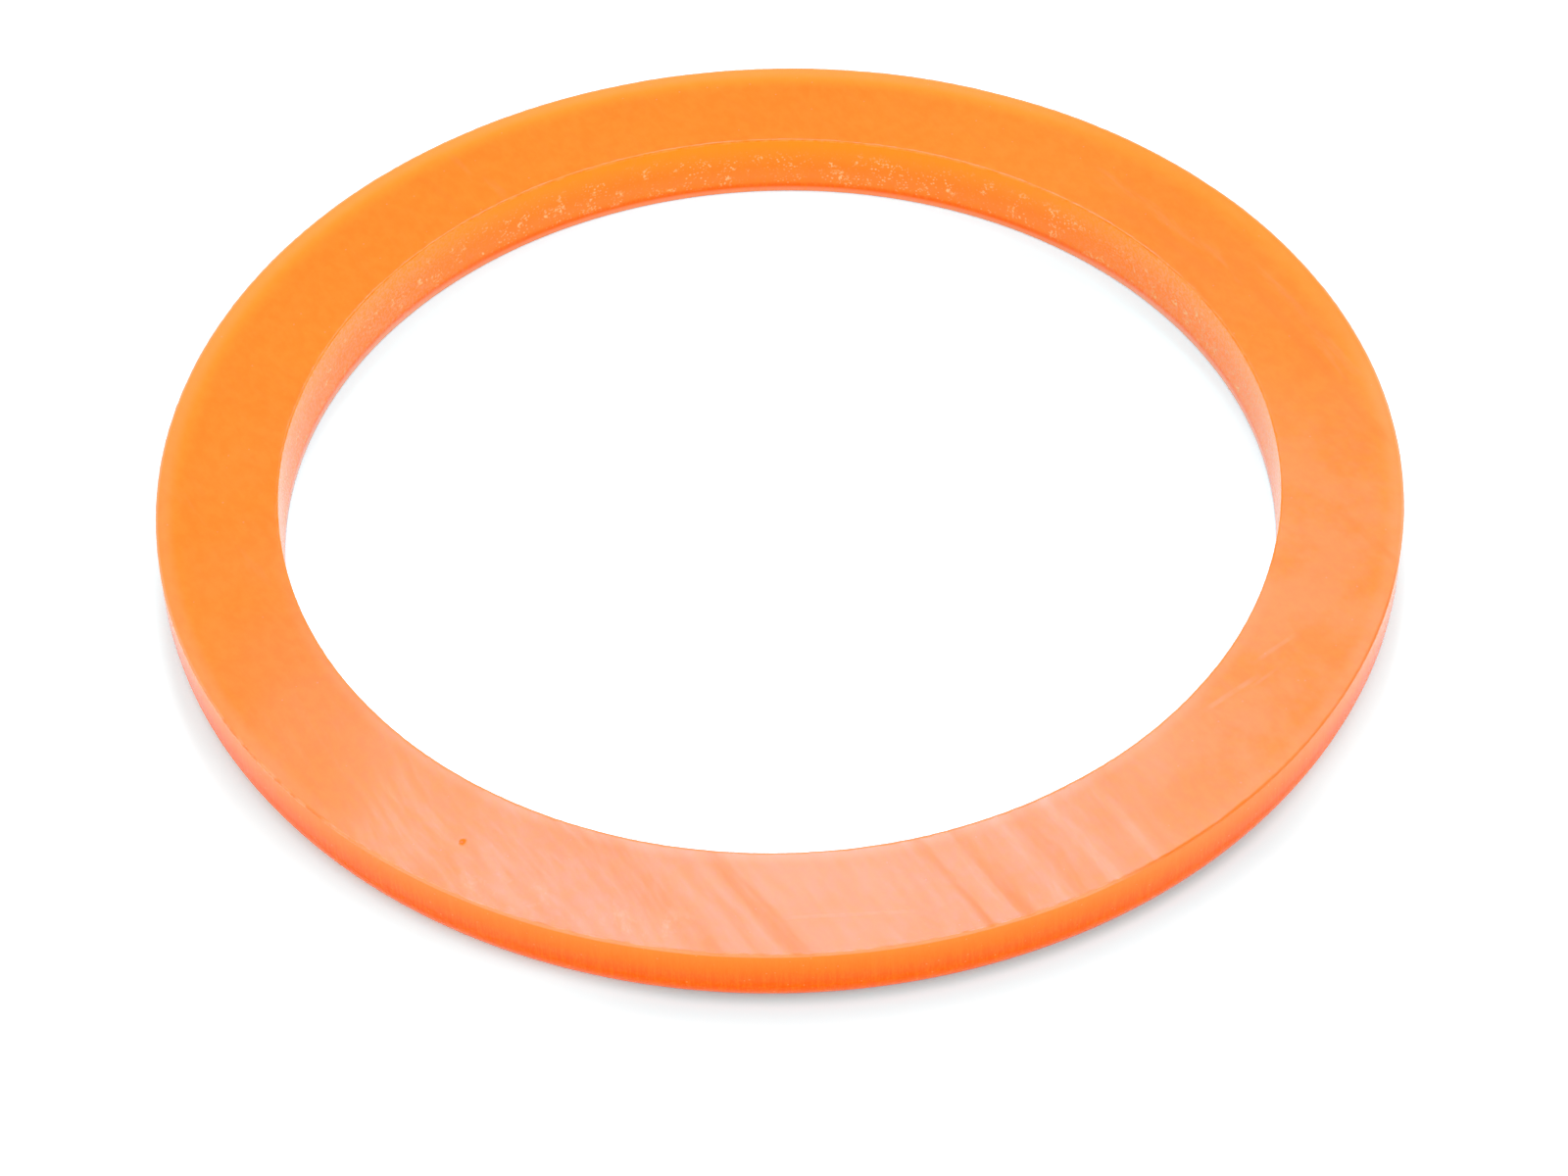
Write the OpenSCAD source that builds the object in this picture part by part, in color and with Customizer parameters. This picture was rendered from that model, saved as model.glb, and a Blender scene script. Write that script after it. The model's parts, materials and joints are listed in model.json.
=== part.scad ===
// Flat ring seal of solid polyurethane, cast in a shallow mould and bored out as one piece.
// The ring lies on its lower face. The origin is on the ring's axis, in the plane of that face, and +Z is up.

/* [Ring] */
// Diameter of the bore, from wall to wall
bore_d = 112.5; // [40:0.5:300]
// Width of the section, from the bore's wall to the outside wall
section_w = 13.75; // [6:0.25:40]
// Height of the section, from the lower face to the upper face
section_h = 8.25; // [4:0.25:30]

/* [Edges] */
// Radius of the lower outside edge, which the corner of the mould rounds
mould_round = 3.25; // [0.5:0.25:3.5]
// Break on the upper outside edge
rim_edge = 0.15; // [0.1:0.05:0.8]
// Break on both edges of the bore, left by the cutter
bore_edge = 0.2; // [0.1:0.05:0.8]

/* [Hidden] */
bore_r = bore_d / 2;
rim_r = bore_r + section_w;
polyurethane_orange = [0.98, 0.55, 0.17];
$fn = 180;

// Cross-section of the ring, the radius along x and the height along y, still without its rounded corner
module squared_section() {
    polygon([
        [bore_r, bore_edge],
        [bore_r + bore_edge, 0],
        [rim_r - mould_round, 0],
        [rim_r - mould_round, mould_round],
        [rim_r, mould_round],
        [rim_r, section_h - rim_edge],
        [rim_r - rim_edge, section_h],
        [bore_r + bore_edge, section_h],
        [bore_r, section_h - bore_edge]
    ]);
}

// Quarter disc that fills the lower outside corner of the section
module corner_round() {
    translate([rim_r - mould_round, mould_round])
    intersection() {
        circle(r = mould_round);
        translate([0, -mould_round]) square(mould_round);
    }
}

// The whole seal: its section turned once round the axis
module seal_ring() {
    color(polyurethane_orange)
    rotate_extrude() {
        squared_section();
        corner_round();
    }
}

seal_ring();
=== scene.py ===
# %% [markdown]
# # A flat ring seal of cast polyurethane
#
# The seal is one piece: a flat orange ring with a rectangular section, which lies on its lower face. The
# solid model gives its size and place. This lesson gives it the look of the real thing: soft edges,
# walls with the fine marks of a blade, a bore with opened bubbles, and a satin upper face with streaks,
# scuffs and scratches.

# %% Load the solid model
import bpy
import json
import math
from mathutils import Matrix, Vector


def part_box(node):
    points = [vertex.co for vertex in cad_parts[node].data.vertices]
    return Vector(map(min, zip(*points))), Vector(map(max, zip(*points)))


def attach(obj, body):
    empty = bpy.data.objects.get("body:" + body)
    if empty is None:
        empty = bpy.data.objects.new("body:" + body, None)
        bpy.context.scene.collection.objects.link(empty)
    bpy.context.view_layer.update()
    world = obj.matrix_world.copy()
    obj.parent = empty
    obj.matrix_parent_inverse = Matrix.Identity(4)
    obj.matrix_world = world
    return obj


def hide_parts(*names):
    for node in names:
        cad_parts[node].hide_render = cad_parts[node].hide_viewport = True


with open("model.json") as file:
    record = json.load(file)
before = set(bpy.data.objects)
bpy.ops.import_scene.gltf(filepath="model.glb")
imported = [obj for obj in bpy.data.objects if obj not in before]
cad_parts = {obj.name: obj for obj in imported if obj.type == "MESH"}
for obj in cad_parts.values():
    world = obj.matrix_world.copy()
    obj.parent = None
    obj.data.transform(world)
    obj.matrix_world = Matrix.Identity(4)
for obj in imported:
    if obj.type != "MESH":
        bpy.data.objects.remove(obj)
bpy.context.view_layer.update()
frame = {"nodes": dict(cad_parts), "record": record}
print("nodes:", list(frame["nodes"]))

# %% [markdown]
# ## The sizes
#
# The main sizes come from the solid model. Its record states the bore and the outside wall as mounts
# with their radii, and its box gives the height. It says nothing of the edges, so their three sizes are
# written here again. Blender works in metres, so one millimetre gets a name, and sizes are then written
# as on a drawing.

# %% Sizes of the ring
mm = 0.001
radius_of = {mount["name"]: mount["dims"].get("r_mm", 0) * mm for mount in frame["record"]["mounts"]}
ring_low, ring_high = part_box("seal_ring")
height = ring_high[2] - ring_low[2]
bore_r = radius_of["bore"]
rim_r = radius_of["outside_wall"]
section_w = rim_r - bore_r
mould_round = 3.25 * mm
rim_edge = 0.15 * mm
bore_edge = 0.2 * mm
print("bore radius", bore_r, "rim radius", rim_r, "height", height)

# %% [markdown]
# ## The camera
#
# The ring was photographed from in front and above, about halfway between a side view and a plan. A
# long lens from half a metre keeps the far side of the ring nearly as large as the near side. The
# camera looks at a point a little nearer than the ring's centre, and it was held very slightly askew.

# %% Place the camera
camera_pitch = math.radians(46.62)
camera_roll = math.radians(-1.45)
camera_distance = 477 * mm
camera_target = Vector((0.25 * mm, -10.92 * mm, 0))
camera_lens_mm = 97.6

view_direction = Vector((0, math.cos(camera_pitch), -math.sin(camera_pitch)))
eye = camera_target - view_direction * camera_distance
bpy.ops.object.camera_add(location=eye)
camera = bpy.context.object
camera.name = "camera"
tilt = Matrix.Rotation(math.pi / 2 - camera_pitch, 4, "X")
roll = Matrix.Rotation(camera_roll, 4, "Z")
camera.matrix_world = Matrix.Translation(eye) @ tilt @ roll
camera.data.lens = camera_lens_mm
camera.data.sensor_width = 36
camera.data.clip_start = 0.01
camera.data.clip_end = 20
bpy.context.scene.camera = camera
print("camera at", tuple(round(value, 3) for value in eye))

# %% [markdown]
# ## Modelling by hand
#
# An operator acts on everything that is selected, and loading the solid model leaves its nodes
# selected. So each step starts with nothing selected, and points are then picked by their place.

# %% Helpers for selecting
same_place = 0.01 * mm


def deselect_all():
    """Leaves edit mode and selects nothing."""
    if bpy.context.object and bpy.context.object.mode != "OBJECT":
        bpy.ops.object.mode_set(mode="OBJECT")
    bpy.ops.object.select_all(action="DESELECT")


def select_points(piece, chosen):
    """Goes to edit mode with only the points selected whose place passes the test."""
    bpy.ops.object.mode_set(mode="EDIT")
    bpy.ops.mesh.select_mode(type="VERT")
    bpy.ops.mesh.select_all(action="DESELECT")
    bpy.ops.object.mode_set(mode="OBJECT")
    for point in piece.data.vertices:
        point.select = chosen(point.co)
    bpy.ops.object.mode_set(mode="EDIT")


print("points less than", same_place / mm, "mm apart count as one place")

# %% [markdown]
# ## The section
#
# A cast ring could be built from a torus or from two cylinders with a boolean between them. A section
# that is spun round an axis is closer to how a lathe or a mould forms it, and it gives even quads. The
# section starts as a plane standing on the floor at the right of the axis. Its corners are then
# rounded: widely at the lower outside edge, where the mould's corner was round, and only a little at
# the rim and the bore, where a cutter trimmed them.

# %% The section's rectangle
deselect_all()
section_middle = (bore_r + section_w / 2, 0, height / 2)
bpy.ops.mesh.primitive_plane_add(size=1, location=section_middle, rotation=(math.pi / 2, 0, 0))
ring = bpy.context.object
ring.name = "polyurethane_ring"
ring.scale = (section_w, height, 1)
bpy.ops.object.transform_apply(location=True, rotation=True, scale=True)
print("section", section_w / mm, "by", height / mm, "mm")


# %% Round the section's corners
def round_corner(x, z, radius, segments):
    """Turns one corner of the section into an arc."""
    corner = Vector((x, 0, z))
    select_points(ring, lambda place: (place - corner).length < same_place)
    bpy.ops.mesh.bevel(offset=radius, segments=segments, profile=0.5, affect="VERTICES")


round_corner(rim_r, 0, mould_round, segments=8)
round_corner(rim_r, height, rim_edge, segments=3)
round_corner(bore_r, height, bore_edge, segments=3)
round_corner(bore_r, 0, bore_edge, segments=3)
bpy.ops.object.mode_set(mode="OBJECT")
print("points in the section:", len(ring.data.vertices))


# %% Divide the section's straight sides
def divide_side(on_side, cuts):
    """Cuts one straight side of the section into shorter edges."""
    select_points(ring, on_side)
    bpy.ops.mesh.subdivide(number_cuts=cuts)


bpy.ops.object.mode_set(mode="EDIT")
bpy.ops.mesh.select_all(action="SELECT")
bpy.ops.mesh.delete(type="ONLY_FACE")
divide_side(lambda place: place.x > rim_r - same_place, cuts=3)
divide_side(lambda place: place.z > height - same_place, cuts=9)
divide_side(lambda place: place.x < bore_r + same_place, cuts=5)
divide_side(lambda place: place.z < same_place, cuts=5)
bpy.ops.object.mode_set(mode="OBJECT")
print("points in the section:", len(ring.data.vertices))


# %% Divide them again beside the upper edges
def divide_near(x, z, reach):
    """Cuts the straight edges beside one corner again, so that a nick there stays small."""
    corner = Vector((x, 0, z))
    divide_side(lambda place: abs(place.x - x) < same_place and (place - corner).length < reach, cuts=2)
    divide_side(lambda place: abs(place.z - z) < same_place and (place - corner).length < reach, cuts=2)


for sharp_x in (rim_r, bore_r):
    divide_near(sharp_x, height, 2.0 * mm)
    divide_near(sharp_x, height, 0.8 * mm)
bpy.ops.object.mode_set(mode="OBJECT")
print("points in the section:", len(ring.data.vertices))

# %% [markdown]
# ## The spin
#
# One spin of more than a thousand steps would turn the section into the ring, but each step takes
# longer than the one before it. So the section is spun through one narrow wedge, and a second spin
# copies that wedge round the axis. The wedges are then merged where they meet, and the normals are
# made to point outwards, because a spin may turn a shape inside out.

# %% Spin the section through one wedge
wedges = 24
steps_in_wedge = 58
wedge_angle = math.tau / wedges
bpy.ops.object.mode_set(mode="EDIT")
bpy.ops.mesh.select_all(action="SELECT")
bpy.ops.mesh.spin(steps=steps_in_wedge, angle=wedge_angle, center=(0, 0, 0), axis=(0, 0, 1))
bpy.ops.object.mode_set(mode="OBJECT")
print("quads in a wedge:", len(ring.data.polygons))

# %% Copy the wedge round the axis
all_but_one = math.tau - wedge_angle
bpy.ops.object.mode_set(mode="EDIT")
bpy.ops.mesh.select_all(action="SELECT")
bpy.ops.mesh.spin(steps=wedges - 1, dupli=True, angle=all_but_one, center=(0, 0, 0), axis=(0, 0, 1))
bpy.ops.mesh.select_all(action="SELECT")
bpy.ops.mesh.remove_doubles(threshold=same_place)
bpy.ops.mesh.normals_make_consistent(inside=False)
bpy.ops.object.mode_set(mode="OBJECT")
print("quads:", len(ring.data.polygons), "points:", len(ring.data.vertices))

# %% [markdown]
# ## A pit from a burst bubble
#
# A bubble of gas burst at the upper face while the polyurethane set, and left a shallow pit less than a
# millimetre wide. A dark dot in the material alone would look flat as soon as the light moves, so the pit
# is pushed into the mesh, and the material adds only a little painted shade inside it. The quads are
# longer than the pit, so those around it are divided first. Then the points in its middle are moved down,
# and proportional editing lets their neighbours follow.

# %% Push the pit in
pit_place = Vector((-33.85 * mm, -53.8 * mm, height))
pit_depth = 0.05 * mm
pit_radius = 0.32 * mm
pit_core = 0.12 * mm
for reach in (2.2 * mm, 0.9 * mm):
    select_points(ring, lambda place: (place - pit_place).length < reach)
    bpy.ops.mesh.subdivide(number_cuts=2)
select_points(ring, lambda place: (place - pit_place).length < pit_core)
bpy.ops.transform.translate(
    value=(0, 0, -pit_depth), use_proportional_edit=True,
    proportional_edit_falloff="SMOOTH", proportional_size=pit_radius,
)
bpy.ops.object.mode_set(mode="OBJECT")
pit_points = [point.co.z for point in ring.data.vertices if (point.co - pit_place).length < 0.5 * mm]
print("pit depth", (height - min(pit_points)) / mm, "mm over", len(pit_points), "points")

# %% [markdown]
# ## Uneven faces and nicked edges
#
# Polyurethane gives way under a cutter, so a trimmed face is never quite flat and a trimmed edge has
# small nicks. Sculpting them would take long. A Displace modifier does it with a cloud texture instead,
# and a vertex group says where. Its middle level is 1, so the surface only ever moves inwards and the
# ring keeps within its size.

# %% Groups of points for the displacement
trimmed_above = 2.0 * mm
rim_nick_reach = 0.3 * mm
bore_nick_reach = 0.35 * mm


def group_points(name, weight_at):
    """Makes a vertex group whose weights follow from the places of the points."""
    group = ring.vertex_groups.new(name=name)
    for point in ring.data.vertices:
        weight = weight_at(math.hypot(point.co.x, point.co.y), point.co.z)
        if weight > 0:
            group.add([point.index], weight, "REPLACE")


def near_edge(radius, z, edge_radius, edge_z, reach):
    """Gives 1 at an edge and 0 at the reach from it."""
    return max(0.0, 1 - math.hypot(radius - edge_radius, z - edge_z) / reach)


def nick_weight(radius, z):
    """Gives the weight of the nicks at the two upper edges."""
    return max(
        near_edge(radius, z, rim_r, height, rim_nick_reach),
        near_edge(radius, z, bore_r, height, bore_nick_reach),
    )


group_points("cut_faces", lambda radius, z: 1.0 if z > trimmed_above else 0.0)
group_points("edges", nick_weight)
print("groups:", [group.name for group in ring.vertex_groups])


# %% Displace the faces and the edges
def displace(group, grain, depth, detail, contrast=1.0, brightness=1.0):
    """Moves a group of points inwards where a cloud pattern is dark, and applies it."""
    clouds = bpy.data.textures.new(group + "_clouds", "CLOUDS")
    clouds.noise_scale = grain
    clouds.noise_depth = detail
    clouds.contrast = contrast
    clouds.intensity = brightness
    modifier = ring.modifiers.new(group, "DISPLACE")
    modifier.texture = clouds
    modifier.texture_coords = "LOCAL"
    modifier.vertex_group = group
    modifier.mid_level = 1.0
    modifier.strength = depth
    bpy.ops.object.modifier_apply(modifier=modifier.name)


displace("cut_faces", grain=14 * mm, depth=0.08 * mm, detail=1)
displace("edges", grain=0.8 * mm, depth=0.04 * mm, detail=2, contrast=3.0, brightness=1.25)
ring.vertex_groups.clear()
bpy.ops.object.shade_smooth_by_angle(angle=math.radians(60))
weighted = ring.modifiers.new("weighted_normals", "WEIGHTED_NORMAL")
weighted.keep_sharp = True
bpy.ops.object.modifier_apply(modifier=weighted.name)
print("highest point", max(point.co.z for point in ring.data.vertices) / mm, "mm")

# %% [markdown]
# ## Shader maths in Python
#
# A pattern is easier to read as a line of arithmetic than as twenty nodes. A small class wraps an output
# socket, and Python's own operators on it add the Math nodes. A second class holds one material and has
# a short method for each node or pattern that it uses. Colours are written as a screen shows them, and one
# function turns them into the light that Blender works with.


# %% A socket with operators
class Value:
    """An output socket whose sums and products add Math nodes."""

    def __init__(self, finish, socket):
        self.finish = finish
        self.socket = socket

    def __add__(self, other):
        return self.finish.math("ADD", self, other)

    __radd__ = __add__

    def __mul__(self, other):
        return self.finish.math("MULTIPLY", self, other)

    __rmul__ = __mul__

    def __sub__(self, other):
        return self.finish.math("SUBTRACT", self, other)

    def __rsub__(self, other):
        return self.finish.math("SUBTRACT", other, self)

    def __truediv__(self, other):
        return self.finish.math("DIVIDE", self, other)

    def __rtruediv__(self, other):
        return self.finish.math("DIVIDE", other, self)

    def __pow__(self, other):
        return self.finish.math("POWER", self, other)

    def __neg__(self):
        return self.finish.math("MULTIPLY", self, -1.0)


# %% A material that is built line by line
class Finish:
    """One procedural material, with a method for any node."""

    def __init__(self, name):
        self.material = bpy.data.materials.new(name)
        self.material.use_nodes = True
        self.nodes = self.material.node_tree.nodes
        self.links = self.material.node_tree.links
        self.nodes.clear()

    def node(self, kind, settings=None, inputs=None):
        """Adds a node, sets its settings and feeds its inputs."""
        node = self.nodes.new(kind)
        for name, setting in (settings or {}).items():
            if name == "stops":
                self.set_stops(node.color_ramp, setting)
            else:
                setattr(node, name, setting)
        for name, given in (inputs or {}).items():
            if isinstance(given, Value):
                self.links.new(given.socket, node.inputs[name])
            else:
                node.inputs[name].default_value = given
        return node

    def add(self, kind, settings=None, inputs=None, output=0):
        """Adds a node and returns one of its outputs."""
        return Value(self, self.node(kind, settings, inputs).outputs[output])

    def set_stops(self, ramp, stops):
        """Gives a colour ramp its stops, each a position and a colour."""
        while len(ramp.elements) < len(stops):
            ramp.elements.new(0.5)
        for element, (position, colour) in zip(ramp.elements, stops):
            element.position = position
            element.color = colour

    def math(self, operation, *given):
        """Adds a Math node."""
        return self.add("ShaderNodeMath", {"operation": operation}, dict(enumerate(given)))

    def between(self, value, low, high):
        """Rises smoothly from 0 to 1 as the value goes from low to high."""
        settings = {"interpolation_type": "SMOOTHSTEP"}
        inputs = {"Value": value, "From Min": low, "From Max": high}
        return self.add("ShaderNodeMapRange", settings, inputs)

    def band(self, value, middle, half_width):
        """Gives 1 at the middle value and 0 from half a width away."""
        away = self.math("ABSOLUTE", value - middle)
        return 1 - self.between(away, half_width * 0.25, half_width)

    def blend(self, share, first, second):
        """Mixes two colours."""
        settings = {"data_type": "RGBA"}
        return self.add("ShaderNodeMix", settings, {0: share, 6: first, 7: second}, output=2)

    def ramp(self, share, stops):
        """Gives the colour that the stops have at a share from 0 to 1."""
        return self.add("ShaderNodeValToRGB", {"stops": stops}, {"Fac": share})

    def noise(self, place, scale, detail=2.0, roughness=0.5):
        """Gives a cloud pattern around one half."""
        inputs = {"Vector": place, "Scale": scale, "Detail": detail, "Roughness": roughness}
        return self.add("ShaderNodeTexNoise", {"noise_dimensions": "3D"}, inputs)

    def specks(self, place, scale, size):
        """Gives round specks of a size in millimetres, scattered by the cells of a Voronoi pattern."""
        away = self.add("ShaderNodeTexVoronoi", {}, {"Vector": place, "Scale": scale})
        return 1 - self.between(away, size * scale * 0.6, size * scale)

    def point(self, x, y, z):
        """Puts three values together as one place."""
        return self.add("ShaderNodeCombineXYZ", {}, {"X": x, "Y": y, "Z": z})

    def split(self, place):
        """Takes a place apart into its three values."""
        node = self.node("ShaderNodeSeparateXYZ", {}, {"Vector": place})
        return [Value(self, output) for output in node.outputs]

    def finished(self, shader):
        """Sends a shader to the material's output and returns the material."""
        self.node("ShaderNodeOutputMaterial", {}, {"Surface": shader})
        return self.material


# %% A colour as a screen shows it
def display_colour(red, green, blue):
    """Turns a colour as a screen shows it, from 0 to 255, into the light that Blender works with."""
    def light(channel):
        share = channel / 255
        return share / 12.92 if share <= 0.04045 else ((share + 0.055) / 1.055) ** 2.4
    return (light(red), light(green), light(blue), 1.0)


print("half grey as light:", [round(channel, 3) for channel in display_colour(128, 128, 128)[:3]])

# %% [markdown]
# ## Where a point lies
#
# The ring is one piece of one substance. But a face that lay in the mould, a face that was cut and the
# wall of the bore differ in their marks. Separate materials on these faces would meet in hard lines. So
# one material works out on which face a point lies, from its height and its distance from the axis, and
# makes a mask of it, which is 1 on that face and 0 elsewhere. The polyurethane was poured in one
# direction across the ring, and some patterns are drawn out along it.

# %% The faces of the ring, as masks
bore_mm = bore_r / mm
rim_mm = rim_r / mm
height_mm = height / mm
section_middle_mm = (bore_mm + rim_mm) / 2
pour_along = (0.5, -0.866)


class Surface:
    """The place of a point in millimetres, and masks for the face that it lies on."""

    def __init__(self, made):
        self.made = made
        place = made.add("ShaderNodeTexCoord", output="Object")
        self.place = made.add("ShaderNodeVectorMath", {"operation": "SCALE"}, {0: place, "Scale": 1 / mm})
        self.x, self.y, self.z = made.split(self.place)
        self.radius = (self.x * self.x + self.y * self.y) ** 0.5
        self.top = made.between(self.z, height_mm - 0.25, height_mm - 0.1)
        outer_half = made.between(self.radius, section_middle_mm - 0.5, section_middle_mm + 0.5)
        self.outside = outer_half * (1 - self.top)
        self.inside = (1 - outer_half) * (1 - self.top)
        low = 1 - made.between(self.z, 0.02, 0.3)
        self.underside = low * made.between(self.radius, bore_mm + 0.25, bore_mm + 0.7)

    def drawn_out(self, across_scale, along_scale):
        """Gives a place for a noise whose clouds are drawn out along the pour."""
        across = self.y * pour_along[0] - self.x * pour_along[1]
        along = self.x * pour_along[0] + self.y * pour_along[1]
        bend = self.made.noise(self.place, 0.06, detail=1) * 3.0
        return self.made.point(across * across_scale + bend, along * along_scale, 0.0)

    def line(self, start, end, half_width, fade):
        """Gives 1 along a line that is drawn on the upper face, and 0 beside it and past its ends."""
        run = Vector(end) - Vector(start)
        along_x, along_y = run.normalized()
        from_x = self.x - start[0]
        from_y = self.y - start[1]
        along = from_x * along_x + from_y * along_y
        across = from_y * along_x - from_x * along_y
        begun = self.made.between(along, 0.0, fade)
        ended = self.made.between(along, run.length - fade, run.length)
        return self.made.band(across, 0.0, half_width) * begun * (1 - ended)


print("the masks divide the walls at a radius of", section_middle_mm, "mm")

# %% [markdown]
# ## Streaks from the pour
#
# The upper face shows streaks, where the polyurethane flowed as it was poured. They run nearly the same
# way across the ring. A noise that is fine across this direction and long along it gives the many faint
# ones. A noise can't put a streak in a chosen place, so the plainer ones are listed. Those near the front
# are wide arcs round a point far outside the ring, and each is set by its distance from that point: where
# it starts, where it is full, and where it ends. A few more elsewhere are drawn as lines.

# %% The plainer streaks, in millimetres
pour_centre = (-148.0, -164.0)
# Start, full from, full to, end, and a strength that is below 0 where the streak is pale
front_streaks = (
    (166.0, 168.2, 169.4, 171.6, 0.45),
    (172.2, 173.2, 173.8, 174.8, 0.2),
    (174.6, 176.0, 177.0, 177.8, 0.6),
    (193.6, 194.5, 194.7, 195.3, 0.6),
    (195.2, 196.2, 196.8, 197.7, -0.2),
    (197.7, 198.1, 198.9, 200.4, 0.6),
    (201.6, 202.5, 202.9, 203.6, -0.3),
    (203.6, 204.8, 206.0, 207.4, 0.3),
    (207.6, 208.5, 209.1, 210.2, -0.38),
    (213.0, 213.7, 214.1, 215.2, -0.28),
)
# Both ends, half the width, and the strength
other_streaks = (
    ((-70.0, 1.0), (-55.0, -17.5), 1.2, -0.12),
    ((-40.0, 56.5), (-30.0, 45.0), 1.1, -0.2),
    ((-44.0, 53.0), (-34.0, 41.5), 0.8, 0.5),
    ((38.0, 50.5), (57.5, 26.0), 2.2, -0.3),
    ((40.0, 44.5), (54.0, 28.5), 1.8, 0.7),
    ((56.0, 33.0), (68.0, 10.0), 1.2, -0.32),
    ((53.0, 35.0), (69.5, 0.0), 1.3, 0.7),
    ((62.0, 20.0), (68.0, 2.0), 0.9, -0.3),
    ((60.5, -6.5), (68.5, -18.5), 0.9, 0.5),
)
print("streaks:", len(front_streaks), "near the front and", len(other_streaks), "elsewhere")


# %% The streaks as a pattern
def faint_streaks(made, at):
    """Gives the many faint streaks, which are plainest at the left of the front."""
    clouds = made.noise(at.drawn_out(0.72, 0.1), 1.0, detail=4, roughness=0.65)
    front_left = (1 - made.between(at.x, -30, -8)) * (1 - made.between(at.y, -45, -20))
    return (made.between(clouds, 0.36, 0.64) * 2.0 - 1.0) * (0.15 + front_left * 0.09)


def arc_streaks(made, at, arc_r, arc_angle):
    """Gives the arcs near the front, from their distance to the centre of the pour."""
    wavy_r = arc_r + (made.noise(at.place, 0.12, detail=3) - 0.5)
    arcs = 0.0
    for start, full_from, full_to, end, strength in front_streaks:
        inner_half = made.between(wavy_r, start, full_from)
        outer_half = 1 - made.between(wavy_r, full_to, end)
        arcs = inner_half * outer_half * strength + arcs
    near_front = 1 - made.between(arc_angle, math.radians(43), math.radians(48))
    plainer_outwards = 0.65 + 0.35 * made.between(at.radius, bore_mm, rim_mm)
    return arcs * near_front * plainer_outwards


def pour_streaks(made, at):
    """Gives the strength of all streaks, from -1 where they are pale to 1 where they are dark."""
    from_x = at.x - pour_centre[0]
    from_y = at.y - pour_centre[1]
    arc_r = (from_x * from_x + from_y * from_y) ** 0.5
    arc_angle = made.math("ARCTAN2", from_y, from_x)
    fibres = 0.4 + 1.2 * made.noise(made.point(arc_r * 1.1, arc_angle * 24.0, 0.0), 1.0, detail=3)
    plain = arc_streaks(made, at, arc_r, arc_angle)
    for start, end, half_width, strength in other_streaks:
        plain = plain + at.line(start, end, half_width, fade=4.0) * strength
    return (faint_streaks(made, at) + plain * fibres) * at.top


# %% [markdown]
# ## Scuffs, scratches and specks
#
# Handling leaves pale marks on soft polyurethane. A scratch is a thin line, and a scuff is a patch of soft
# blotches along the rim. Both are set by their two ends, and a noise breaks them up, because a clean line
# would look drawn. A few tiny bubbles leave faint specks, which a Voronoi pattern scatters.

# %% The marks of handling, in millimetres
# Both ends, half the width, and the strength
scratches = (
    ((-1.5, -65.0), (14.0, -64.5), 0.36, 0.24),
    ((43.8, -38.8), (51.3, -33.0), 0.45, 0.19),
    ((50.0, -31.9), (56.6, -26.5), 0.4, 0.16),
    ((49.5, -35.4), (53.5, -31.9), 0.3, 0.14),
    ((61.2, -19.0), (63.0, -19.8), 0.14, 0.4),
)
# Both ends, and half the width
scuffs = (((-36.0, -56.0), (-24.5, -63.5), 3.0), ((-30.0, -60.6), (-8.0, -67.2), 3.2))
print("scratches:", len(scratches), "scuffs:", len(scuffs))


def handling_marks(made, at):
    """Gives how strongly the upper face is scratched, scuffed or specked, from 0 to 1."""
    blotches = made.between(made.noise(at.drawn_out(0.55, 0.35), 1.0, detail=3, roughness=0.6), 0.48, 0.72)
    veil = made.between(made.noise(at.place, 0.3, detail=2), 0.28, 0.6)
    broken = made.between(made.noise(at.place, 0.4, detail=2), 0.2, 0.6)
    marks = made.specks(at.place, 0.45, 0.14) * 0.2
    for start, end, half_width, strength in scratches:
        marks = marks + at.line(start, end, half_width, fade=3.0) * broken * strength
    for start, end, half_width in scuffs:
        marks = marks + at.line(start, end, half_width, fade=5.0) * veil * (0.1 + blotches * 0.6)
    return made.math("MINIMUM", marks, 1.0) * at.top


# %% [markdown]
# ## The walls
#
# The outside wall keeps fine upright marks of the trimming blade. The bore was cut through the block, and
# the cut opened tiny bubbles, which show as pale specks. Both walls are painted darker towards the foot,
# as painted shade, and yellower near the top, as a painted glow. At the bore's foot a pale pink line is a
# painted reflection of the white floor, under a thin deep orange band of painted shade. That could be
# painted on an unwrapped surface, but a colour ramp over the height needs no unwrapping and has no seam.

# %% The colours up the walls
# Share of the height, and the colour there. Towards the foot the colours paint shade, and near the top a
# glow; at the bore's foot they paint a reflection of the floor under a band of shade.
outside_painted_shading = (
    (0.0, display_colour(255, 102, 0)),
    (0.48, display_colour(255, 99, 0)),
    (0.69, display_colour(255, 118, 2)),
    (0.9, display_colour(255, 133, 26)),
    (1.0, display_colour(255, 140, 38)),
)
inside_painted_shading = (
    (0.0, display_colour(255, 160, 118)),
    (0.07, display_colour(255, 152, 104)),
    (0.115, display_colour(255, 108, 4)),
    (0.15, display_colour(255, 110, 2)),
    (0.2, display_colour(255, 136, 42)),
    (0.3, display_colour(255, 138, 52)),
    (0.5, display_colour(255, 134, 30)),
    (0.75, display_colour(255, 144, 22)),
    (0.9, display_colour(255, 148, 2)),
    (1.0, display_colour(255, 149, 4)),
)
print("the lip at the bore's foot is", round(inside_painted_shading[2][0] * height_mm, 2), "mm high")


# %% The marks on the walls
def upright_lines(made, at):
    """Gives fine upright lines round both walls, broken up along their length."""
    long_lines = made.noise(made.point(at.x, at.y, at.z * 0.08), 3.0, detail=3, roughness=0.7)
    short_lines = made.noise(made.point(at.x, at.y, at.z * 0.4), 5.0, detail=2, roughness=0.6)
    return long_lines * 0.6 + short_lines * 0.4


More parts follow.
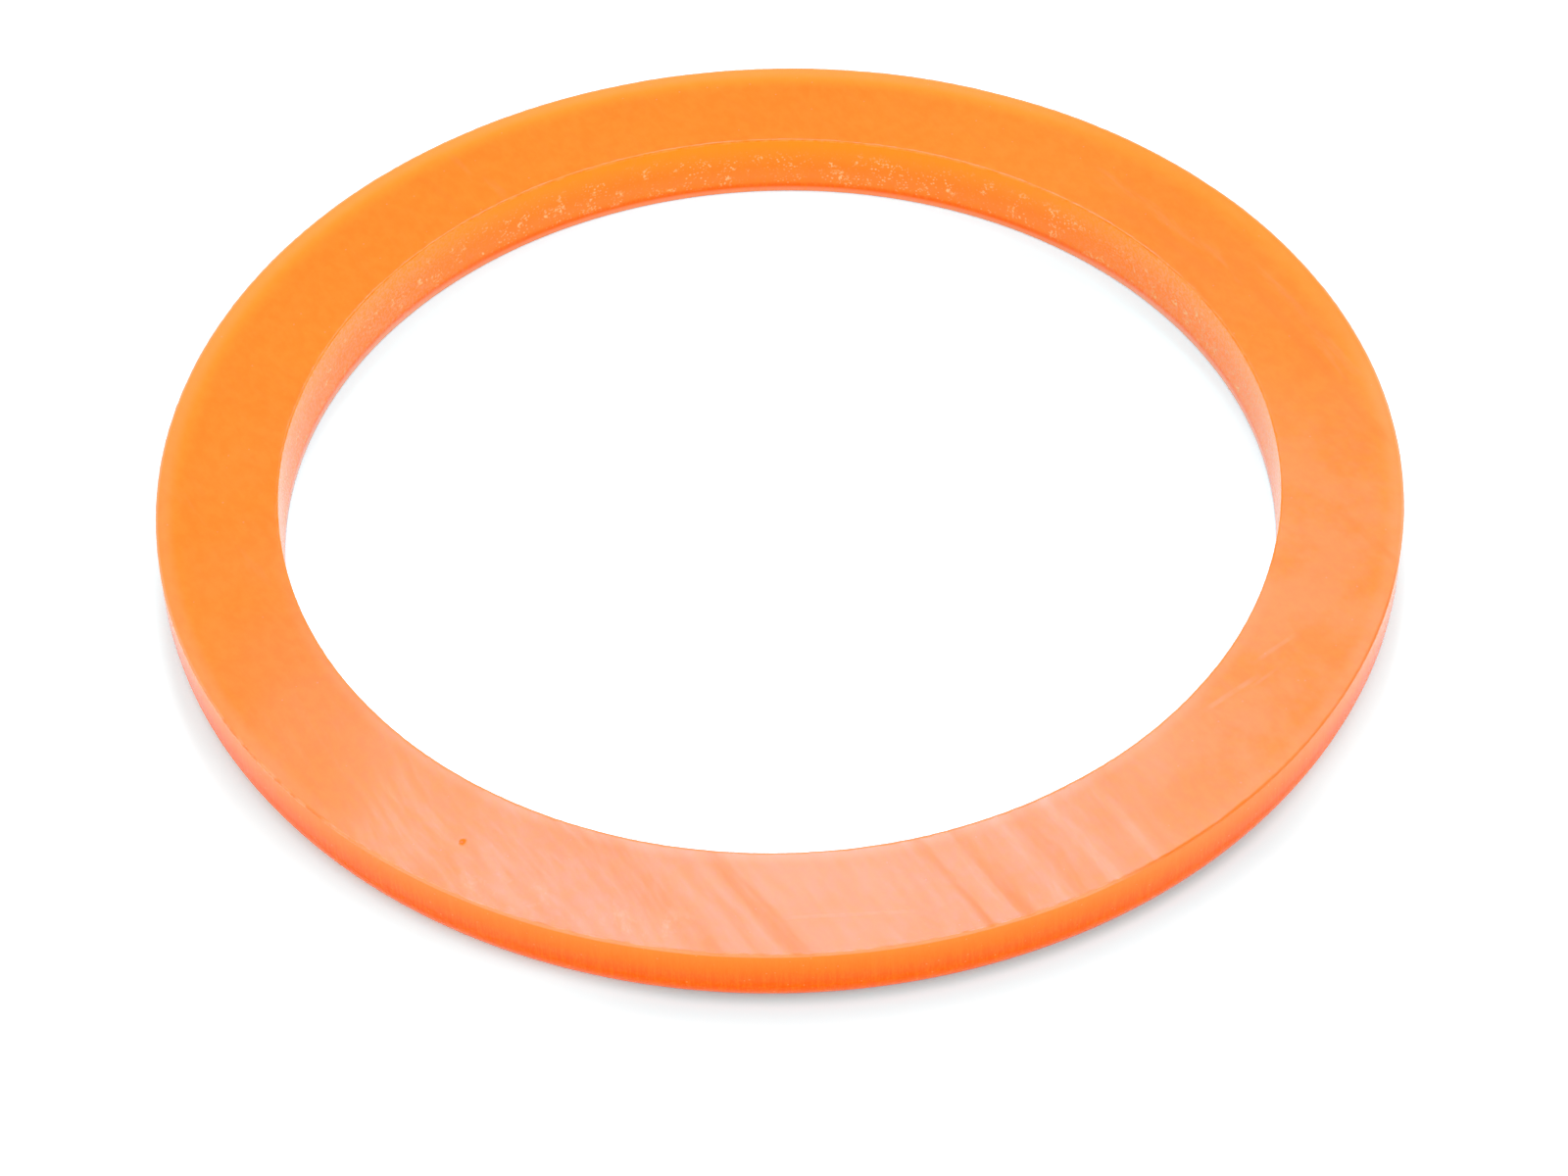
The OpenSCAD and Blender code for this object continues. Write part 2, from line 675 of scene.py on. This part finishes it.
def opened_bubbles(made, at):
    """Gives the opened bubbles in the wall of the bore: fine ones all round, and a few patches."""
    in_band = made.between(at.z, 1.0, 1.9) * (1 - made.between(at.z, 4.8, 7.4))
    uneven = 0.15 + made.between(made.noise(at.place, 0.25, detail=3), 0.46, 0.62) * 0.75
    fine = made.specks(at.place, 2.5, 0.16) * made.between(made.noise(at.place, 2.0, detail=2), 0.4, 0.58)
    patches = made.between(made.noise(at.place, 0.4, detail=3, roughness=0.6), 0.58, 0.66)
    ragged = made.between(made.noise(at.place, 2.4, detail=3, roughness=0.6), 0.48, 0.58)
    pale = fine * uneven + patches * ragged
    return made.math("MINIMUM", pale, 1.0) * in_band * at.inside


# %% [markdown]
# ## The colour of the polyurethane
#
# Cast polyurethane is a satin, slightly translucent rubber. Light enters it and comes out again a
# millimetre away, so its edges glow and its shaded foot stays a deep orange; the colour paints much of
# this glow and shade as well. One flat orange would look like paint. The real one is cloudy. The colour
# adds painted light on top: a yellower glow and a pale band along the rim, a painted sheen beside the bore
# at the front and in milkier clouds at the right, painted highlights and shade on the upper edges, painted
# reflection and shade at the bore's foot, and a little painted shade in the pit. The streaks' colours also
# paint some of the sheen they catch. The colour is laid on in layers: first the upper face, the walls and
# the underside, then the two upper edges, and last the marks.

# %% The tones of orange
deep_orange = display_colour(255, 131, 0)
clear_orange = display_colour(255, 142, 16)
# Painted sheen, laid in clouds at the right of the upper face.
milky_sheen_orange = display_colour(255, 172, 128)
# A painted glow along the rim.
rim_glow_amber = display_colour(255, 158, 28)
# Painted light along the rim, and painted sheen beside the bore.
painted_light_pale = display_colour(255, 178, 132)
# A painted reflection of the white floor at the bore's foot.
foot_reflection_pink = display_colour(255, 190, 172)
# A pale grain at the bore's sides, which also paints their reflection of the floor.
grain_and_reflection_pink = display_colour(255, 196, 160)
blade_line_orange = display_colour(255, 148, 38)
underside_deep = display_colour(255, 114, 0)
underside_clear = display_colour(255, 124, 12)
# Painted highlights on the bore's edge and the rim's edge, and painted shade on the rim's edge.
bore_edge_highlight = display_colour(255, 180, 96)
rim_edge_highlight = display_colour(255, 180, 140)
rim_edge_shade = display_colour(224, 112, 34)
# The streaks' colours are partly their own tone and partly painted sheen: less on dark streaks, more on
# pale ones.
dark_streak_less_sheen = display_colour(250, 126, 8)
pale_streak_more_sheen = display_colour(255, 170, 110)
bubble_pale = display_colour(255, 200, 134)
scuff_pale = display_colour(255, 208, 190)
# Painted shade in the pit.
pit_shade = display_colour(240, 104, 62)
print("deep orange as light:", [round(channel, 3) for channel in deep_orange[:3]])


# %% The colour of the upper face
def top_colour(made, at, clouding):
    """Gives the colour of the upper face, with a painted glow and a pale band of painted light along the
    rim, a painted sheen beside the bore at the front, and milkier clouds at the right that paint part of
    the sheen.
    """
    colour = made.blend(clouding, deep_orange, clear_orange)
    clouds = made.between(made.noise(at.place, 0.11, detail=4, roughness=0.6), 0.36, 0.62)
    # Milkier clouds at the right paint part of the sheen there.
    sheen_at_right = made.between(at.x, 20, 50) * (1 - made.between(at.y, -8, 14))
    colour = made.blend(clouds * sheen_at_right * 0.2, colour, milky_sheen_orange)
    back_right = made.between(at.x, 25, 45) * made.between(at.y, 8, 25)
    # A painted glow along the rim, as if light shone through it from behind.
    glow = made.between(at.radius, rim_mm - 4.2, rim_mm - 1.2) * made.between(at.y, -35, 45)
    colour = made.blend(glow * (0.9 - back_right * 0.35), colour, rim_glow_amber)
    # A pale band of painted light along the rim, and a band of painted sheen beside the bore at the front.
    rim_light_band = made.between(at.radius, rim_mm - 2.4, rim_mm - 0.8) * made.between(at.y, -58, -40)
    rim_light_band = rim_light_band * (1 - back_right * 0.8)
    bore_sheen_band = 1 - made.between(at.radius, bore_mm + 0.2, bore_mm + 2.0)
    bore_sheen_band = bore_sheen_band * (1 - made.between(at.y, -62, 0))
    return made.blend(rim_light_band * 0.18 + bore_sheen_band * 0.42, colour, painted_light_pale)


# %% The colour of the walls and the underside
def wall_colour(made, at, lines, clouding):
    """Gives the colour of both walls, with painted shade towards the foot and a painted glow near the top,
    a painted reflection of the floor at the bore's foot, a pale grain at the bore's sides that also paints
    their reflection, and the colour of the plain underside.
    """
    level = at.z / height_mm
    inside_share = at.inside / (at.inside + at.outside + 0.001)
    # The ramps paint shade that deepens towards the foot and a glow near the top.
    colour = made.blend(inside_share, made.ramp(level, outside_painted_shading), made.ramp(level, inside_painted_shading))
    bore_sides = (1 - made.between(at.y, 32, 48)) * inside_share
    # A pale pink line at the bore's foot: a painted reflection of the white floor.
    painted_foot_reflection = (1 - made.between(at.z, 0.7, 1.3)) * bore_sides
    colour = made.blend(painted_foot_reflection * 0.5, colour, foot_reflection_pink)
    # At the bore's sides a pale grain, which also paints their pale reflection of the floor seen at a
    # grazing angle.
    grain = made.between(made.noise(at.place, 2.6, detail=3, roughness=0.7), 0.44, 0.6) * bore_sides
    colour = made.blend(grain * 0.28, colour, grain_and_reflection_pink)
    colour = made.blend(made.between(lines, 0.4, 0.65) * 0.27, colour, blade_line_orange)
    underside_colour = made.blend(clouding, underside_deep, underside_clear)
    return made.blend(at.underside, colour, underside_colour)


# %% The colour of the upper edges: painted highlights and shade
def with_edges(made, at, colour):
    """Lays a painted highlight on the edge of the bore, and a painted highlight with dashes of painted
    shade on the edge of the rim, over a colour.
    """
    at_edge_height = made.between(at.z, height_mm - 0.4, height_mm - 0.15)
    broken_up = made.between(made.noise(at.place, 0.5, detail=4, roughness=0.7), 0.4, 0.6)
    # A painted highlight along the bore's edge, broken up by a noise.
    at_bore_edge = (1 - made.between(at.radius, bore_mm + 0.1, bore_mm + 0.25)) * broken_up
    colour = made.blend(at_edge_height * at_bore_edge * 0.3, colour, bore_edge_highlight)
    # The rim's edge gets a painted highlight, with painted shade at the right and, broken up, at the left
    # front.
    shade_at_right = made.between(at.x, 30, 40) * (1 - made.between(at.y, -24, -12))
    shade_at_left = (1 - made.between(at.x, -50, -42)) * (1 - made.between(at.y, -34, -26)) * broken_up
    rim_edge_light_and_shade = made.blend(shade_at_right + shade_at_left * 0.65, rim_edge_highlight, rim_edge_shade)
    at_rim_edge = made.between(at.radius, rim_mm - 0.4, rim_mm - 0.2)
    return made.blend(at_edge_height * at_rim_edge * 0.5, colour, rim_edge_light_and_shade)


# %% The colour of the marks
def with_marks(made, at, colour, streak, marks, bubbles):
    """Lays the streaks, whose colours also paint less sheen on dark streaks and more on pale ones, the
    specks, the marks of handling and a little painted shade in the pit over a colour.
    """
    # Dark streaks are painted with less sheen and pale ones with more, on top of their own faint tone.
    colour = made.blend(made.between(streak, 0.05, 1.0) * 0.5, colour, dark_streak_less_sheen)
    colour = made.blend(made.between(-streak, 0.05, 1.0) * 0.4, colour, pale_streak_more_sheen)
    wall_flecks = made.specks(at.place, 0.9, 0.12) * at.outside
    colour = made.blend(bubbles * 0.95 + wall_flecks * 0.3, colour, bubble_pale)
    colour = made.blend(marks * 0.7, colour, scuff_pale)
    # The pit is also darkened in colour: painted shade in its hollow.
    from_pit_squared = (at.x - pit_place.x / mm) ** 2.0 + (at.y - pit_place.y / mm) ** 2.0
    in_pit = made.band(from_pit_squared, 0.0, 0.08) * at.top
    return made.blend(in_pit * 0.3, colour, pit_shade)


# %% [markdown]
# ## The gloss and the relief
#
# The upper face mirrors the lamp behind the ring as a broad pink sheen, the walls have a warmer gloss,
# and the foot of the outside wall and the underside are dull. The strength and the tint of a gloss are
# set on the shader itself and can't change over a surface. So there are three shaders of the same
# polyurethane, and the masks mix them. A Bump node gives the relief that is too fine to model.

# %% The shader
warm_tint = (1.0, 0.5, 0.35, 1.0)
pink_tint = (1.0, 0.55, 0.95, 1.0)
# The strength of the gloss, and its tint
top_gloss = (0.31, pink_tint)
wall_gloss = (0.34, warm_tint)
dull_gloss = (0.08, warm_tint)


def polyurethane_shader(made, colour, roughness, bump, gloss):
    """Adds one shader of polyurethane with one of the three glosses."""
    specular_level, specular_tint = gloss
    return made.add("ShaderNodeBsdfPrincipled", {}, {
        "Base Color": colour,
        "Roughness": roughness,
        "Normal": bump,
        "IOR": 1.45,
        "Specular IOR Level": specular_level,
        "Specular Tint": specular_tint,
        "Subsurface Weight": 0.2,
        "Subsurface Radius": (1.0, 0.4, 0.12),
        "Subsurface Scale": 1.5 * mm,
    })


# %% The relief
def fine_relief(made, at, streak, lines, bubbles):
    """Gives the grain, the streaks, the blade's lines and the sunken bubbles as a bump in millimetres."""
    grain = made.noise(at.place, 4.0, detail=2, roughness=0.6)
    bore_grain = made.noise(at.place, 1.8, detail=3, roughness=0.7) * at.inside
    relief = grain * 0.001 + streak * 0.003 + lines * (1 - at.top) * 0.007
    relief = relief + bore_grain * 0.012 - bubbles * 0.02
    return made.add("ShaderNodeBump", {}, {"Height": relief, "Strength": 1.0, "Distance": mm})


# %% The whole material
def polyurethane():
    """Builds the ring's material."""
    made = Finish("polyurethane")
    at = Surface(made)
    streak = pour_streaks(made, at)
    marks = handling_marks(made, at)
    bubbles = opened_bubbles(made, at)
    lines = upright_lines(made, at)
    mottling = made.between(made.noise(at.drawn_out(0.8, 0.45), 1.0, detail=5, roughness=0.75), 0.37, 0.63)
    clouding = made.between(made.noise(at.place, 0.06, detail=3), 0.3, 0.7) * 0.4 + mottling * 0.6
    colour = made.blend(at.top, wall_colour(made, at, lines, clouding), top_colour(made, at, clouding))
    colour = with_edges(made, at, colour)
    colour = with_marks(made, at, colour, streak, marks, bubbles)
    bump = fine_relief(made, at, streak, lines, bubbles)

    in_sheen = 1 - made.between(at.y, -40, -10)
    top_roughness = 0.175 + streak * in_sheen * 0.09 + marks * 0.15 + mottling * 0.03
    wall_roughness = 0.14 + lines * 0.1
    top_shader = polyurethane_shader(made, colour, top_roughness, bump, top_gloss)
    wall_shader = polyurethane_shader(made, colour, wall_roughness, bump, wall_gloss)
    dull_shader = polyurethane_shader(made, colour, wall_roughness, bump, dull_gloss)
    foot = at.outside * (1 - made.between(at.z, 3.0, 4.8))
    dull = made.math("MAXIMUM", foot, at.underside)
    walls = made.add("ShaderNodeMixShader", {}, {0: dull, 1: wall_shader, 2: dull_shader})
    return made.finished(made.add("ShaderNodeMixShader", {}, {0: at.top, 1: walls, 2: top_shader}))


ring.data.materials.clear()
ring.data.materials.append(polyurethane())
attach(ring, "root")
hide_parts("seal_ring")
print("nodes in the material:", len(ring.data.materials[0].node_tree.nodes))

# %% [markdown]
# ## The floor and the light
#
# A large sheet of white paper and soft light from all round make a plain studio. The camera looks down on
# the ring, so a flat sheet does without a curved backdrop. The ring throws orange light on the paper
# around it, more than the eye expects. So where the camera sees the paper, its colour takes that tint away
# again, and it is brighter, to come out white. The ring's soft shadow stays, and in front of the ring the
# paper is shown darker still: a painted shadow beside the real one.
#
# A soft lamp stands behind the ring and high up, and its reflection is the pale sheen on the near side. A
# weaker one beside it carries the sheen on to the right. Two more in front light the walls.

# %% The colours of the paper
paper = (0.9, 0.9, 0.9, 1.0)
seen_far = (1.38, 1.45, 1.48, 1.0)
seen_in_bore = (1.01, 1.48, 1.68, 1.0)
seen_beside = (0.99, 1.48, 1.59, 1.0)
# The colours for the front are darker: a painted shadow in front of the ring.
seen_shaded_beside_front = (0.9, 1.3, 1.4, 1.0)
seen_at_foot = (0.9, 1.5, 1.64, 1.0)
seen_shaded_at_front_foot = (0.64, 1.14, 1.26, 1.0)

# %% The floor
floor_size = 6.0
deselect_all()
bpy.ops.mesh.primitive_plane_add(size=floor_size, location=(0, 0, -0.02 * mm))
floor = bpy.context.object
floor.name = "floor"


def white_paper():
    """Builds the floor's material."""
    made = Finish("white_paper")
    path = made.node("ShaderNodeLightPath")
    camera_ray = Value(made, path.outputs["Is Camera Ray"])
    glossy_ray = Value(made, path.outputs["Is Glossy Ray"])
    transmission_ray = Value(made, path.outputs["Is Transmission Ray"])
    seen = made.math("MAXIMUM", made.math("MAXIMUM", camera_ray, glossy_ray), transmission_ray)
    at = Surface(made)
    past_bore = made.between(at.radius, bore_mm, rim_mm - 1)
    # In front of the ring the paper is shown darker, and further out: a painted shadow on top of the real
    # one.
    front_shadow_share = made.between(at.x * 0.3 - at.y, 56, 67)
    at_foot = made.blend(front_shadow_share, seen_at_foot, seen_shaded_at_front_foot)
    beside = made.blend(front_shadow_share, seen_beside, seen_shaded_beside_front)
    near = made.blend(made.between(at.radius, rim_mm - 1.2, rim_mm + 0.4), at_foot, beside)
    farther = made.between(at.radius - front_shadow_share * 0.8, rim_mm, rim_mm + 7)
    shown = made.blend(past_bore, seen_in_bore, made.blend(farther, near, seen_far))
    colour = made.blend(seen, paper, shown)
    return made.finished(made.add("ShaderNodeBsdfDiffuse", {}, {"Color": colour}))


floor.data.materials.append(white_paper())
print("floor:", floor_size, "m wide")


# %% The lamps
def softbox(name, azimuth, elevation, distance, width, depth, radiance):
    """Adds a soft lamp at a place on a dome over the ring, facing it, with the given brightness."""
    level = math.cos(math.radians(elevation)) * distance
    place = Vector((
        math.cos(math.radians(azimuth)) * level,
        math.sin(math.radians(azimuth)) * level,
        math.sin(math.radians(elevation)) * distance,
    ))
    bpy.ops.object.light_add(type="AREA", location=place)
    lamp = bpy.context.object
    lamp.name = name
    lamp.data.shape = "RECTANGLE"
    lamp.data.size = width
    lamp.data.size_y = depth
    lamp.data.energy = radiance * math.pi * width * depth
    lamp.rotation_euler = (-place).to_track_quat("-Z", "Y").to_euler()
    print(name, "gives", round(lamp.data.energy, 2), "W")


softbox("back_softbox", 91, 53.6, distance=1.3, width=0.35, depth=0.17, radiance=18.5)
softbox("side_softbox", 73, 46.6, distance=1.3, width=0.42, depth=0.13, radiance=3.0)
softbox("front_left_softbox", -135, 28, distance=1.3, width=0.9, depth=0.7, radiance=1.7)
softbox("front_right_softbox", -38, 30, distance=1.3, width=0.9, depth=0.7, radiance=2.0)

# %% The surrounding light
world = bpy.data.worlds.new("studio")
world.use_nodes = True
world.node_tree.nodes["Background"].inputs["Color"].default_value = (1, 1, 1, 1)
world.node_tree.nodes["Background"].inputs["Strength"].default_value = 0.75
bpy.context.scene.world = world
bpy.context.scene.view_settings.view_transform = "Standard"
print("world:", world.name)
